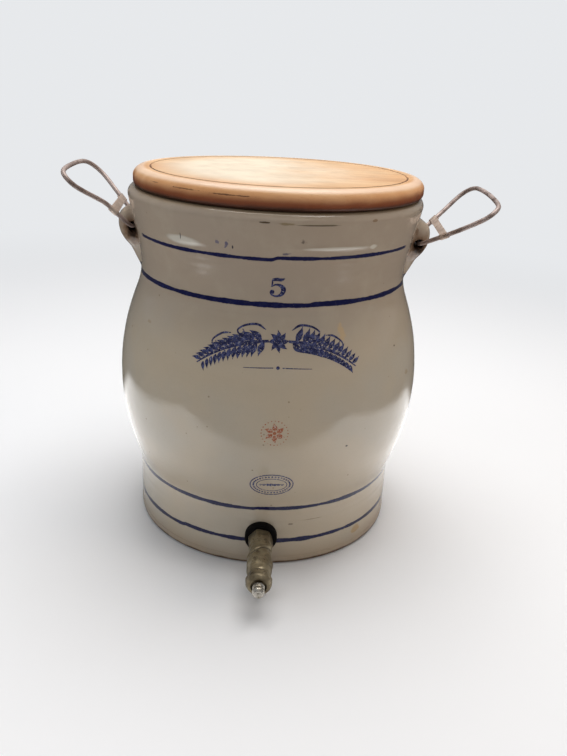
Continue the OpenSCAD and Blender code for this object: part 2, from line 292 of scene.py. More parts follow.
def tube(name, points, sides):
    """A bare closed mesh through rings of `sides` points each, to cut with."""
    rings = len(points) // sides
    faces = grid_faces(rings, sides)
    faces.append(tuple(range(sides)))
    faces.append(tuple(reversed(range((rings - 1) * sides, rings * sides))))
    mesh = bpy.data.meshes.new(name)
    mesh.from_pydata(points, [], faces)
    cutter = bpy.data.objects.new(name, mesh)
    bpy.context.scene.collection.objects.link(cutter)
    return cutter


def keep_outside(thing, cutter):
    """Cuts one closed mesh out of another and removes the cutter."""
    cut = thing.modifiers.new("cut", "BOOLEAN")
    cut.operation = "DIFFERENCE"
    cut.solver = "EXACT"
    cut.object = cutter
    bpy.context.view_layer.update()
    graph = bpy.context.evaluated_depsgraph_get()
    result = bpy.data.meshes.new_from_object(thing.evaluated_get(graph))
    thing.modifiers.clear()
    old = thing.data
    thing.data = result
    bpy.data.meshes.remove(old)
    bpy.data.objects.remove(cutter)


def cad_rays(node):
    """Rays against a CAD node: returns a function of start and direction that gives the place it hits."""
    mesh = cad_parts[node].data
    tree = BVHTree.FromPolygons([v.co for v in mesh.vertices], [p.vertices for p in mesh.polygons])
    return lambda start, way: tree.ray_cast(Vector(start), Vector(way))[0]


def between(a, b, c, d, f):
    """The place a fraction f of the way from b to c, on a smooth curve through a, b, c and d."""
    return b + f * (c - a) / 2 + f * f * (2 * a - 5 * b + 4 * c - d) / 2 + f ** 3 * (3 * (b - c) + d - a) / 2


def smooth_path(path, step):
    """Points about `step` apart on a smooth curve through path."""
    p = np.array(path, float)
    p = np.vstack([2 * p[0] - p[1], p, 2 * p[-1] - p[-2]])
    out = []
    for a, b, c, d in zip(p, p[1:], p[2:], p[3:]):
        count = max(2, int(np.hypot(*(c - b)) / step) + 1)
        out += [between(a, b, c, d, f) for f in np.arange(count) / count]
    out.append(p[-2])
    return out


def smoothed(values, width):
    """A bell-weighted running mean whose ends keep their values."""
    reach = np.arange(-3 * width, 3 * width + 1)
    bell = np.exp(-0.5 * (reach / width) ** 2)
    padded = np.pad(values, 3 * width, mode="reflect", reflect_type="odd")
    return np.convolve(padded, bell / bell.sum(), "valid")


# ---------------------------------------------------------------- pot: shape

POT_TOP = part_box("stoneware_pot")[1].z
# The middle of each lug's bore, as (x, z), and the height of the tap's middle
RIGHT_HINGE = (0.147, 0.307)
LEFT_HINGE = (-0.142, 0.311)
TAP_Z = 0.034
WAVE = 0.16 * MM


def pot_profiles():
    """Outer and inner radius of the pot at each millimetre of height, from the CAD model."""
    hit = cad_rays("stoneware_pot")
    side = Vector((math.sqrt(0.5), math.sqrt(0.5), 0))
    heights = np.linspace(0.0001, POT_TOP - 0.0001, 355)
    outer, inner = [], []
    for z in heights:
        out = hit(side * 0.3 + Vector((0, 0, z)), -side)
        outer.append(math.hypot(out.x, out.y))
        within = hit((0, 0, z), side)
        inner.append(math.hypot(within.x, within.y))
    outer, inner = np.array(outer), np.array(inner)
    middle = np.clip(np.minimum(heights - 0.006, POT_TOP - 0.010 - heights) / 0.010, 0, 1)
    outer = outer + middle * (smoothed(outer, 5) - outer)
    deep = np.clip(np.minimum(heights - 0.035, POT_TOP - 0.020 - heights) / 0.010, 0, 1)
    inner = inner + deep * (smoothed(inner, 5) - inner)
    return heights, outer, inner


HEIGHTS, OUTER, INNER = pot_profiles()

# Height of a lug's section from its middle, how far it stands out from LUG_X, and its fullness
LUG_FORM = np.array([[-45, -15, 0.1], [-31, -7, 0.3], [-18, -0.5, 0.6], [-9, 7, 0.9], [0, 11, 1],
                     [10, 11.5, 1], [17, 9, 0.9], [23, 1.5, 0.7], [27, -6, 0.4]])
LUG_ROOT, LUG_X, LUG_Z, LUG_HALF = 130 * MM, 148 * MM, 307 * MM, 20 * MM


def lug_row(z):
    """Reach and half width of a lug at height z, by a smooth curve through LUG_FORM's rows."""
    at = (z - LUG_Z) / MM
    if not LUG_FORM[0][0] < at < LUG_FORM[-1][0]:
        return None
    i = int(np.searchsorted(LUG_FORM[:, 0], at)) - 1
    i = min(max(i, 0), len(LUG_FORM) - 2)
    f = (at - LUG_FORM[i][0]) / (LUG_FORM[i + 1][0] - LUG_FORM[i][0])
    a, b, c, d = (LUG_FORM[min(max(k, 0), len(LUG_FORM) - 1)] for k in (i - 1, i, i + 1, i + 2))
    row = between(a, b, c, d, f)
    return LUG_X + row[1] * MM, LUG_HALF * (0.45 + 0.55 * row[2])


def lug_radius(off, z):
    """Distance from the pot's axis to a lug's skin, by angle off the lug's own direction."""
    row = lug_row(z)
    if row is None:
        return np.zeros_like(off)
    reach, half = row
    a = np.linspace(0, math.pi / 2, 60)
    x = LUG_ROOT + (reach - LUG_ROOT) * np.cos(a) ** 0.7
    y = half * np.sin(a) ** 0.9
    return np.interp(np.abs(off), np.arctan2(y, x), np.hypot(x, y), right=0)


def soft_max(a, b, reach):
    """The larger of a and b, with a fillet where they meet."""
    closeness = np.clip(1 - np.abs(a - b) / reach, 0, 1)
    return np.maximum(a, b) + reach * closeness ** 3 / 6


rng = np.random.default_rng(7)
# Each wave's turns round the pot, its rate up the wall, its phase and its weight
WAVES = [(int(rng.integers(0, 4)), rng.uniform(20, 260), rng.uniform(0, 6.28), rng.uniform(0.3, 1))
         for _ in range(10)]
WAVES += [(0, rng.uniform(500, 1100), rng.uniform(0, 6.28), rng.uniform(0.15, 0.35)) for _ in range(6)]


def thrown(azimuth, z):
    """Slight unevenness of a thrown and hand-finished wall, from -WAVE * 2 to 0."""
    total = sum(w * np.sin(n * azimuth + k * z + p) for n, k, p, w in WAVES)
    return WAVE * (total / sum(w for *_, w in WAVES) * 1.6 - 1).clip(-2, 0)


def swell(azimuth, z, at, phase, width, start, end, size):
    """A low ridge or, with size below 0, groove at height `at` from azimuth start to end, in degrees."""
    along = np.clip((azimuth - math.radians(start)) * 8, 0, 1)
    along = along * np.clip((math.radians(end) - azimuth) * 8, 0, 1)
    wander = 0.8 * MM * np.sin(azimuth * 3 + phase)
    return size * along * np.exp(-((z - at - wander) / width) ** 2)


# (height in metres, half width in millimetres, azimuths of its start and end, size in millimetres)
SWELLS = [(0.3235, 1.6, 2, 42, 0.5), (0.3215, 2.2, -44, -22, 0.5), (0.0480, 0.7, -70, 75, -0.35),
          (0.0545, 0.6, -30, 95, -0.25), (0.2620, 1.6, -60, 60, 0.12)]


def pot_radius(azimuth, z):
    """Radius of the pot's outer skin at an array of azimuths and one height."""
    body = np.full_like(azimuth, np.interp(z, HEIGHTS, OUTER))
    right = np.abs((azimuth - math.pi / 2 + math.pi) % (2 * math.pi) - math.pi)
    left = np.abs((azimuth + math.pi / 2 + math.pi) % (2 * math.pi) - math.pi)
    lug = np.maximum(lug_radius(right, z), lug_radius(left, z))
    skin = soft_max(body, lug, 6 * MM)
    skin = skin + thrown(azimuth, z) * np.clip((POT_TOP - z) / (6 * MM), 0, 1)
    for number, (at, height, start, end, size) in enumerate(SWELLS, 1):
        skin = skin + swell(azimuth, z, at, number, height * MM, start, end, size * MM)
    return skin


def pot_columns():
    """Azimuths of the pot's columns: close together over the lugs, wider elsewhere."""
    fine, coarse, reach = math.radians(0.33), math.radians(1.25), math.radians(13)
    lug = np.arange(-reach, reach, fine)
    wall = np.arange(reach, math.pi - reach, coarse)
    return np.concatenate([part + side for side in (math.pi / 2, -math.pi / 2) for part in (lug, wall)])


def pot_rows():
    """Heights of the pot's rows: close together at the foot, the lugs and the rim."""
    foot = np.array([0.0001, 0.0004, 0.0009, 0.0016, 0.0026, 0.004])
    body = np.arange(0.006, 0.262, 0.0022)
    collar = np.arange(0.262, 0.346, 0.0012)
    rim = POT_TOP - np.array([0.0075, 0.0062, 0.005, 0.0038, 0.0028, 0.0019, 0.0011, 0.0005, 0.0001])
    return np.concatenate([foot, body, collar, rim])


def bore_cutter(name, hinge):
    """A worn round hole through a lug, wider towards both mouths."""
    half = [(7, 2.45), (11, 3.4), (16, 4.9), (19, 5.9), (21, 6.9), (24, 7.6), (30, 7.8)]
    sides = 40
    turns = ring_of(sides)
    points = []
    for y, r in [(-y, r) for y, r in reversed(half)] + half:
        lobes = 0.04 * min(abs(y) / 12, 1) * np.sin(turns * 3 + y)
        uneven = r * MM * (1 + lobes + 0.03 * np.sin(turns * 2 + 1))
        for a, q in zip(turns, uneven):
            points.append((hinge[0] + q * math.cos(a), y * MM, hinge[1] + q * math.sin(a)))
    return tube(name, points, sides)


def tap_hole_cutter():
    """The round hole for the tap's shank, from outside the foot to behind the washer inside."""
    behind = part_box("inner_rubber_washer")[1].y + 0.01
    shank, sides = 9.9 * MM, 48
    points = [(shank * math.cos(a), y, TAP_Z + shank * math.sin(a)) for y in (-0.16, behind)
              for a in ring_of(sides)]
    return tube("tap_hole", points, sides)


def build_pot(material):
    """The pot's skin from the foot over the rim to the middle of its floor, closed underneath."""
    columns, rows = pot_columns(), pot_rows()
    outside = [(pot_radius(columns, z), z) for z in rows]
    lip = np.interp(POT_TOP, HEIGHTS, OUTER) + np.interp(POT_TOP, HEIGHTS, INNER)
    inside = [(lip / 2, POT_TOP)]
    floor_z = HEIGHTS[np.argmax(INNER > 0.05)]
    down = [POT_TOP - d for d in (0.0001, 0.0006, 0.0014, 0.0026, 0.004, 0.006, 0.009, 0.013)]
    down += list(np.arange(POT_TOP - 0.018, floor_z + 0.012, -0.004))
    down += [floor_z + d for d in (0.010, 0.008, 0.006, 0.0045, 0.003, 0.002, 0.001)]
    inside += [(np.interp(z, HEIGHTS, INNER), z) for z in down]
    inside += [(r, floor_z + 0.0002) for r in (0.10, 0.07, 0.035)]
    under = [(0.125, 0.0), (0.06, 0.0)]
    points = []
    for r, z in outside + inside + under:
        points += zip(r * np.sin(columns), -r * np.cos(columns), np.full_like(columns, z))
    count = len(columns)
    total = len(outside) + len(inside)
    faces = grid_faces(total, count)
    faces += [tuple(reversed(q)) for q in grid_faces(2, count, first=total * count)]
    for j in range(count):
        k = (j + 1) % count
        faces.append((j, total * count + j, total * count + k, k))
    faces.append(tuple(range((total - 1) * count, total * count)))
    faces.append(tuple(reversed(range((total + 1) * count, (total + 2) * count))))
    pot = mesh_object("pot_body", points, faces, material)
    keep_outside(pot, bore_cutter("right_bore", RIGHT_HINGE))
    keep_outside(pot, bore_cutter("left_bore", LEFT_HINGE))
    keep_outside(pot, tap_hole_cutter())
    pot.data.set_sharp_from_angle(angle=math.radians(42))
    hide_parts("stoneware_pot")
    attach(pot, "pot")


# ---------------------------------------------------------------- pot: glaze and paint

COBALT = rgb(20, 23, 66)
COBALT_THIN = rgb(54, 59, 98)
# Radius in millimetres at which a mark's width is measured
WALL_R = 148


def glaze_places(kit):
    """Azimuth in radians, height, and the azimuth's sine and cosine for noise that has no seam."""
    x, y, z = kit.split(kit.place)
    azimuth = kit.math("ARCTAN2", x, kit.times(y, -1.0))
    return azimuth, z, (kit.math("SINE", azimuth), kit.math("COSINE", azimuth))


def on_outside(kit):
    """1 on the pot's outer skin, 0 on its inside, whose normals point to the axis."""
    x, y, _ = kit.split(kit.place)
    across, along, _ = kit.split(kit.facing)
    away = kit.plus(kit.times(x, across), kit.times(y, along))
    return kit.math("GREATER_THAN", away, 0.0)


def band(kit, azimuth, z, ring, height, half, wander, drop, drop_at, seed):
    """A brush-painted ring. drop is the small step where the turn of the brush begins and ends."""
    shifted = kit.join(*ring, float(seed))
    turn = kit.math("FRACT", kit.math("DIVIDE", kit.minus(azimuth, math.radians(drop_at)), 2 * math.pi))
    drift = kit.spread(kit.noise(shifted, 2.2, 2), 2 * wander)
    fall = kit.larger(turn, kit.step(turn, 0.0, 0.008, 1.0, 0.0))
    middle = kit.minus(kit.plus(drift, height), kit.times(fall, drop))
    hand = kit.noise(kit.scaled(shifted, (1.6, 1.6, 1.6)), 3.5, 3)
    press = kit.math("MULTIPLY_ADD", hand, 1.5 * half, 0.3 * half)
    ragged = kit.spread(kit.noise(kit.place, 420, 2), 0.8 * MM)
    away = kit.plus(kit.absolute(kit.minus(z, middle)), ragged)
    return kit.step(kit.minus(away, press), -0.3 * MM, 0.35 * MM, 1.0, 0.0)


def spot(kit, azimuth, z, at, height, half_width, half_height, ragged, scale, slant=0.0):
    """A mark's strength (a stain, scar or painted highlight), 1 in its middle and 0 outside. at is in
    degrees, the sizes in millimetres.
    """
    across = kit.times(kit.minus(azimuth, math.radians(at)), WALL_R / half_width)
    up = kit.math("DIVIDE", kit.minus(z, height * MM), half_height * MM)
    up = kit.plus(up, kit.times(across, slant))
    torn = kit.spread(kit.noise(kit.place, scale, 3), 4 * ragged)
    return kit.step(kit.plus(kit.length(across, up), torn), 0.55, 1.1, 1.0, 0.0)


def specks(kit, vector, scale, channel, above, small, large):
    """Small round marks, in those cells of a pattern whose own random value is above a limit."""
    cells = kit.cells(vector, scale)
    chosen = kit.math("GREATER_THAN", kit.split(cells.outputs["Color"])[channel], above)
    return kit.times(kit.step(cells.outputs["Distance"], small, large, 1.0, 0.0), chosen)


# A paler glaze colour laid along the collar's ridges as a painted highlight.
RIDGE_HIGHLIGHT = rgb(214, 209, 196)
# Stains, and painted highlights on the collar's ridges and the belly: (azimuth, height, half width, half
# height, colour, strength, raggedness, slant)
STAINS_AND_HIGHLIGHTS = [
    (-34, 321.5, 22, 4.5, RIDGE_HIGHLIGHT, 0.75, 0.15, 0.15),
    (-35, 325, 0.7, 3.5, rgb(60, 52, 60), 0.8, 0.2, 0.0),
    (22, 323.5, 34, 1.8, RIDGE_HIGHLIGHT, 0.6, 0.25, 0.0),
    (38, 323, 5, 2.4, RIDGE_HIGHLIGHT, 0.7, 0.2, 0.0),
    (-20, 325.5, 2.0, 2.2, rgb(70, 74, 118), 0.6, 0.6, 0.3),
    (-16.5, 325, 2.2, 3.2, rgb(58, 62, 108), 0.7, 0.6, -0.4),
    (-14.3, 322, 0.9, 1.8, rgb(26, 26, 50), 0.9, 0.3, 0.0),
    (9.7, 329.5, 4.5, 2.2, rgb(82, 70, 66), 0.7, 0.7, 0.2),
    (4.5, 319, 4.0, 1.2, rgb(60, 62, 92), 0.7, 0.7, -0.3),
    (-3, 346, 5, 0.8, rgb(60, 48, 32), 0.85, 0.4, 0.0),
    (4, 345.4, 8, 1.4, rgb(120, 104, 66), 0.6, 0.5, 0.0),
    (14, 344.6, 22, 0.8, rgb(74, 64, 46), 0.75, 0.4, 0.03),
    (36, 347, 4, 1.2, rgb(120, 88, 54), 0.6, 0.5, 0.0),
    (29.6, 136.5, 1.6, 1.2, rgb(40, 32, 26), 0.95, 0.2, 0.0),
    (45, 20, 7, 5.5, rgb(176, 140, 76), 0.55, 0.5, 0.0),
    (17, 49.5, 22, 0.5, rgb(96, 80, 62), 0.55, 0.9, -0.02),
    (12, 46.5, 3.5, 0.8, rgb(80, 66, 52), 0.6, 0.8, 0.2),
    (82, 322, 3, 4.5, rgb(112, 80, 54), 0.7, 0.5, 0.3),
    (-81, 296, 2.5, 9, rgb(120, 86, 56), 0.6, 0.7, 0.2),
    # A warm painted highlight, the reflection of a lamp on the belly.
    (27, 246, 4.5, 8, rgb(206, 170, 118), 0.45, 0.5, 0.1),
    (-52, 236, 5, 2, rgb(150, 128, 96), 0.4, 0.5, 0.0),
    (62, 190, 4, 3, rgb(150, 124, 90), 0.4, 0.5, 0.0),
    (118, 150, 12, 6, rgb(168, 148, 112), 0.4, 0.5, 0.2),
    (-140, 96, 9, 12, rgb(170, 150, 116), 0.4, 0.5, 0.1),
    (172, 262, 5, 2.5, rgb(70, 74, 118), 0.5, 0.6, 0.2),
]


# (height in metres, half width, wander and drop in millimetres, azimuth of the drop, seed)
BANDS = [(0.3152, 1.5, 0.5, 1.9, -1, 3), (0.2726, 2.05, 0.6, 0.8, 14, 11),
         (0.0655, 1.95, 0.5, 0.9, -4, 19), (0.0280, 2.05, 0.5, 1.4, -36, 27)]


def glaze():
    """Grey-buff glaze with clouds, pits, stains, painted highlights on the collar's ridges and the belly,
    painted bands, rust below the bores and a bare foot.
    """
    kit = Kit("stoneware_glaze")
    azimuth, z, ring = glaze_places(kit)
    broad = kit.noise(kit.place, 9, 3, 0.55)
    clouds = kit.noise(kit.place, 34, 4, 0.6)
    colour = kit.mix(kit.step(broad, 0.35, 0.65), rgb(184, 174, 158), rgb(190, 175, 153))
    colour = kit.mix(kit.step(z, 0.19, 0.30, 0.0, 0.8), colour, rgb(163, 146, 129))
    colour = kit.layer(kit.step(clouds, 0.45, 0.75), 0.35, colour, rgb(184, 171, 151))
    mottle = kit.noise(kit.place, 620, 3, 0.6)
    colour = kit.layer(kit.step(mottle, 0.5, 0.8), 0.22, colour, rgb(168, 155, 135))

    pits = specks(kit, kit.place, 95, 0, 0.82, 0.05, 0.11)
    colour = kit.layer(pits, 0.55, colour, rgb(112, 92, 66))
    grit = specks(kit, kit.scaled(kit.place, (1, 1, 1.3)), 34, 1, 0.90, 0.03, 0.06)
    colour = kit.layer(grit, 0.8, colour, rgb(70, 54, 40))

    outside = on_outside(kit)
    # Stains, and the painted highlights, on the outer skin only.
    for at, height, wide, tall, stain, strength, ragged, slant in STAINS_AND_HIGHLIGHTS:
        mask = spot(kit, azimuth, z, at, height, wide, tall, ragged, 900 / max(wide, 2), slant)
        mask = kit.times(mask, outside)
        colour = kit.layer(mask, strength, colour, stain)

    off_lugs = kit.absolute(kit.minus(kit.absolute(azimuth), math.pi / 2))
    clear = kit.step(off_lugs, math.radians(26.5), math.radians(29.5))
    painted = None
    for height, half, wander, drop, drop_at, seed in BANDS:
        mask = band(kit, azimuth, z, ring, height, half * MM, wander * MM, drop * MM, drop_at, seed)
        if height > LUG_Z:
            mask = kit.times(mask, clear)
        painted = mask if painted is None else kit.larger(painted, mask)
    thin = kit.step(kit.noise(kit.place, 130, 4, 0.65), 0.45, 0.72)
    paint = kit.layer(thin, 0.3, COBALT, COBALT_THIN)
    gaps = kit.step(kit.noise(kit.place, 900, 2), 0.64, 0.76, 1.0, 0.75)
    painted = kit.times(painted, outside)
    colour = kit.layer(painted, gaps, colour, paint)

    for hinge in (RIGHT_HINGE, LEFT_HINGE):
        x, _, height = kit.split(kit.place)
        dx = kit.minus(x, hinge[0])
        dz = kit.minus(height, hinge[1] - 1.5 * MM)
        down = kit.times(kit.math("LESS_THAN", dz, 0.0), -0.35)
        dz = kit.times(dz, kit.plus(1.0, down))
        torn = kit.spread(kit.noise(kit.place, 210, 3, 0.6), 7 * MM)
        far = kit.plus(kit.length(dx, dz), torn)
        colour = kit.mix(kit.step(far, 6 * MM, 17 * MM, 0.8, 0.0), colour, rgb(114, 80, 52))
        colour = kit.mix(kit.step(far, 4 * MM, 9.5 * MM, 0.95, 0.0), colour, rgb(42, 28, 20))

    edge = kit.plus(z, kit.times(kit.noise(kit.place, 60, 3), 3 * MM))
    colour = kit.mix(kit.step(edge, 3 * MM, 26 * MM, 0.3, 0.0), colour, rgb(140, 104, 70))
    colour = kit.mix(kit.step(edge, 3.4 * MM, 5.8 * MM, 0.95, 0.0), colour, rgb(76, 50, 30))
    colour = kit.mix(kit.step(edge, 352 * MM, 356 * MM, 0.0, 0.55), colour, rgb(150, 124, 88))
    bare = kit.math("LESS_THAN", z, 0.45 * MM)
    colour = kit.mix(bare, colour, rgb(178, 152, 118))

    shine = kit.step(kit.noise(kit.place, 22, 4, 0.6), 0.3, 0.75, 0.06, 0.17)
    shine = kit.larger(shine, kit.times(bare, 0.8))
    orange_peel = kit.noise(kit.place, 160, 3, 0.5)
    ripple = kit.noise(kit.scaled(kit.place, (1, 1, 2.2)), 42, 2)
    normal = kit.bump(ripple, 0.35, 0.5 * MM)
    normal = kit.bump(orange_peel, 0.25, 0.12 * MM, normal)
    normal = kit.bump(kit.times(pits, -1.0), 0.6, 0.15 * MM, normal)
    return kit.finish(colour, shine, 0.0, normal, Specular_IOR_Level=0.5)


# ---------------------------------------------------------------- painted ornament

def on_pot(azimuth, height, lift=0.06 * MM):
    """The place on the pot's front at an azimuth in degrees and a height in millimetres."""
    a = np.array([math.radians(azimuth)])
    r = float(pot_radius(a, height * MM)[0]) + lift
    return (r * math.sin(a[0]), -r * math.cos(a[0]), height * MM)


def around(count, wide, tall, first=0):
    """Places at even steps round an oval, from an angle in degrees."""
    turns = ring_of(count) + math.radians(first)
    return zip(wide * np.cos(turns), tall * np.sin(turns))


class Brush:
    """Strokes laid on the pot as one thin mesh. Its points are (millimetres across, millimetres up)."""

    def __init__(self, azimuth, height):
        self.azimuth, self.height = azimuth, height
        self.radius = float(np.interp(height * MM, HEIGHTS, OUTER)) / MM
        self.points, self.faces = [], []

    def add(self, x, y):
        self.points.append(on_pot(self.azimuth + math.degrees(x / self.radius), self.height + y))
        return len(self.points) - 1

    def stroke(self, path, widths):
        """A ribbon along a path, its width in millimetres at even steps along it."""
        path = smooth_path(path, 1.0)
        count = len(path)
        rows = []
        for i, p in enumerate(path):
            ahead, behind = path[min(i + 1, count - 1)], path[max(i - 1, 0)]
            along = ahead - behind
            side = np.array([-along[1], along[0]]) / max(np.hypot(*along), 1e-9)
            w = np.interp(i / (count - 1) * (len(widths) - 1), range(len(widths)), widths) / 2
            rows.append([self.add(*(p + side * w * k)) for k in (-1, 0, 1)])
        for a, b in zip(rows, rows[1:]):
            self.faces += [(a[0], b[0], b[1], a[1]), (a[1], b[1], b[2], a[2])]

    def leaf(self, x, y, length, width, heading):
        """A pointed, slightly curving leaf from (x, y), its heading in degrees."""
        a = math.radians(heading)
        path = [(x + length * t * math.cos(a + 0.25 * t), y + length * t * math.sin(a + 0.25 * t))
                for t in np.linspace(0, 1, 7)]
        self.stroke(path, [0.15 * width, 0.8 * width, width, 0.75 * width, 0.3 * width, 0.05])

    def dot(self, x, y, radius):
        hub = self.add(x, y)
        rim = [self.add(x + across, y + up) for across, up in around(14, radius, radius)]
        self.faces += [(hub, a, b) for a, b in zip(rim, rim[1:] + rim[:1])]

    def done(self, name, material):
        piece = mesh_object(name, self.points, self.faces, material)
        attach(piece, "pot")


def ink(name, full, thin, ground, worn):
    """Paint under glaze: broken, blotted, with the ground showing through where it is worn."""
    kit = Kit(name)
    blot = kit.step(kit.noise(kit.place, 330, 4, 0.65), 0.38, 0.68)
    colour = kit.mix(blot, full, thin)
    holes = kit.step(kit.noise(kit.place, 780, 3, 0.7), 0.60 - worn, 0.70 - worn)
    colour = kit.layer(holes, 0.85, colour, ground)
    normal = kit.bump(kit.noise(kit.place, 160, 3), 0.25, 0.12 * MM)
    return kit.finish(colour, 0.17, 0.0, normal)


def paint_numeral(material):
    """A capacity numeral, 5."""
    brush = Brush(2.0, 288.3)
    brush.stroke([(-4.6, 6.6), (-1.0, 7.3), (3.0, 7.0), (6.0, 8.4)], [2.6, 3.2, 3.2, 1.0])
    brush.stroke([(-4.4, 7.0), (-4.7, 3.2), (-5.2, 0.2)], [1.5, 1.4, 1.3])
    brush.stroke([(-5.2, 0.4), (-1.6, 2.3), (3.0, 1.2), (5.4, -2.4), (3.6, -6.6), (-0.6, -8.4), (-4.6, -7.4),
                  (-6.2, -5.0)], [1.0, 1.6, 3.0, 4.4, 3.8, 2.0, 1.5, 1.6])
    brush.dot(-4.6, -4.6, 2.1)
    brush.done("capacity_numeral", material)


def paint_sprays(material):
    """An arched spray of leaves and scrolls to each side of a plain rosette."""
    brush = Brush(3.2, 236)
    for s in (-1, 1):
        stem = [(s * 9, 5.2), (s * 22, 3.6), (s * 36, 0.4), (s * 50, -5), (s * 62, -12), (s * 73, -20.5)]
        brush.stroke(stem, [2.2, 3.4, 3.2, 2.8, 2.2, 1.0])
        curve = smooth_path(stem, 6.6)
        for i, (x, y) in enumerate(curve[1:-1]):
            size = 14.5 - 0.42 * i
            lean = 0 if s > 0 else 180
            slope = -s * (4 + 2.6 * i)
            brush.leaf(x, y + 0.8, size, 6.3 - 0.2 * i, lean + slope + s * 52)
            brush.leaf(x - s * 2.5, y - 0.8, size * 0.92, 5.9 - 0.2 * i, lean + slope - s * 50)
        curl = [(s * 12, 14.5), (s * 20, 18.6), (s * 31, 17.2), (s * 38, 12.8), (s * 36, 9.4), (s * 32, 11.2),
                (s * 33.6, 13.8)]
        brush.stroke(curl, [0.8, 2.2, 2.0, 1.8, 1.6, 1.4, 0.8])
        curl = [(s * 44, 9.5), (s * 52, 8.4), (s * 60, 2.6), (s * 60.5, -1.8), (s * 57, -1.2),
                (s * 57.6, 1.4)]
        brush.stroke(curl, [0.7, 1.8, 1.8, 1.5, 1.2, 0.7])
        brush.stroke([(s * 4, -17.6), (s * 22, -18.4), (s * 30, -18.8)], [0.9, 0.8, 0.5])
    for k, (x, y) in enumerate(around(8, 1.6, 1.6)):
        brush.leaf(x, 5 + y, 8.4, 4.4, 45 * k - 7)
    brush.dot(0, 5, 2.1)
    brush.dot(0, -17.5, 1.6)
    brush.done("painted_sprays", material)


def paint_rosette(material):
    """Six petals inside a ring of dots."""
    brush = Brush(3.0, 157)
    for k, (x, y) in enumerate(around(6, 2.2, 2.2, 30)):
        brush.leaf(x, y, 8.2, 5.0, 60 * k + 24)
    for x, y in around(24, 12.4, 12.4):
        brush.dot(x, y, 0.62)
    brush.dot(0, 0, 1.7)
    brush.done("painted_rosette", material)


def paint_oval(material):
    """An oval frame with a ring of dots inside, and a plain lozenge row in the middle."""
    brush = Brush(3.1, 97.8)
    for wide, tall, thick in ((20.6, 12.6, 1.2), (14.6, 7.6, 0.8)):
        ring = [(wide * math.cos(t), tall * math.sin(t)) for t in np.linspace(0, 2 * math.pi, 33)]
        brush.stroke(ring, [thick] * 3)
    for x, y in around(36, 17.6, 10.1):
        brush.dot(x, y, 0.95)
    for k in range(-3, 4):
        size = 3.0 - 0.42 * abs(k)
        brush.leaf(k * 3.5 - size, 0, size * 2, size * 1.2, 0)
    brush.done("painted_oval", material)


# ---------------------------------------------------------------- lid

lid_low, lid_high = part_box("wooden_lid")
LID_X = (lid_low.x + lid_high.x) / 2
LID_R = (lid_high.x - lid_low.x) / 2
LID_TOP = lid_high.z
LID_SEAT = POT_TOP + 0.2 * MM
GROOVE_R = 0.127
LID_SLOPE = 1.6 * MM
# (azimuth, half width in degrees, height in metres, depth in millimetres)
LID_DENTS = [(-76, 2.4, 0.364, 2.2), (-34, 1.2, 0.362, 0.7), (31, 0.9, 0.364, 0.5), (64, 1.4, 0.360, 0.8),
             (140, 1.6, 0.362, 0.9), (-160, 1.2, 0.364, 0.7)]
# (azimuth, height, half width, half height, strength)
LID_SCARS = [(-17, 365.5, 20, 0.7, 0.7), (-34, 366, 16, 0.6, 0.6), (-50, 366.5, 7, 0.5, 0.45),
             (-74, 364, 4, 5, 0.9)]


def lid_outline():
    """Half section of the lid from the middle of its underside to the middle of its top."""
    hit = cad_rays("wooden_lid")
    plug_r = hit((LID_X + 0.2, 0, LID_SEAT - 4 * MM), (-1, 0, 0)).x - LID_X
    points = [(0, lid_low.z), (0.05, lid_low.z), (0.1, lid_low.z), (plug_r - 2 * MM, lid_low.z)]
    points += [(plug_r, lid_low.z + 1.5 * MM), (plug_r, LID_SEAT - 0.2 * MM), (plug_r + 0.2 * MM, LID_SEAT)]
    edge_low, edge_top = 4.5 * MM, 9.5 * MM
    points += [(LID_R - edge_low + edge_low * math.sin(a), LID_SEAT + edge_low - edge_low * math.cos(a))
               for a in np.linspace(0, math.pi / 2, 8)]
    points += [(LID_R, LID_SEAT + 0.45 * (LID_TOP - LID_SEAT))]
    points += [(LID_R - edge_top + edge_top * math.cos(a), LID_TOP - edge_top + edge_top * math.sin(a))
               for a in np.linspace(0.06, math.pi / 2, 14)]
    points += [(GROOVE_R + d * MM, LID_TOP - deep * MM) for d, deep in (
        (5.5, 0.0), (1.5, 0.0), (0.9, 0.15), (0.5, 0.75), (0, 1.05), (-0.5, 0.75), (-0.9, 0.15), (-1.5, 0.0))]
    points += [(r, LID_TOP) for r in (0.119, 0.103, 0.084, 0.06, 0.035, 0.012)]
    points.append((0, LID_TOP))
    return points


def warp_lid(radii, heights, turns):
    """Wear: a shallow hollow in the top, uneven edge, and dents, all inwards."""
    above = np.clip((heights - (LID_SEAT + 6 * MM)) / (8 * MM), 0, 1)
    sag = 0.35 * MM * (1 + np.sin(turns * 2 + 0.6)) / 2 + 0.2 * MM * (1 + np.sin(turns * 3 + radii * 30)) / 2
    heights = heights - above * sag * np.clip(radii / 0.14, 0, 1)
    backwards = -radii * np.cos(turns) / LID_R
    heights = heights - above * LID_SLOPE * (1 + backwards)
    outer = np.clip((radii - 0.132) / (8 * MM), 0, 1)
    rough = 0.16 * MM * (1 + np.sin(turns * 7 + 1) * np.sin(turns * 13 + 2)) / 2
    radii = radii - outer * rough
    for at, wide, height, deep in LID_DENTS:
        off = (turns - math.radians(at) + math.pi) % (2 * math.pi) - math.pi
        dent = np.exp(-(off / math.radians(wide)) ** 2 - ((heights - height) / (4 * MM)) ** 2)
        radii = radii - outer * deep * MM * dent
    return radii, heights


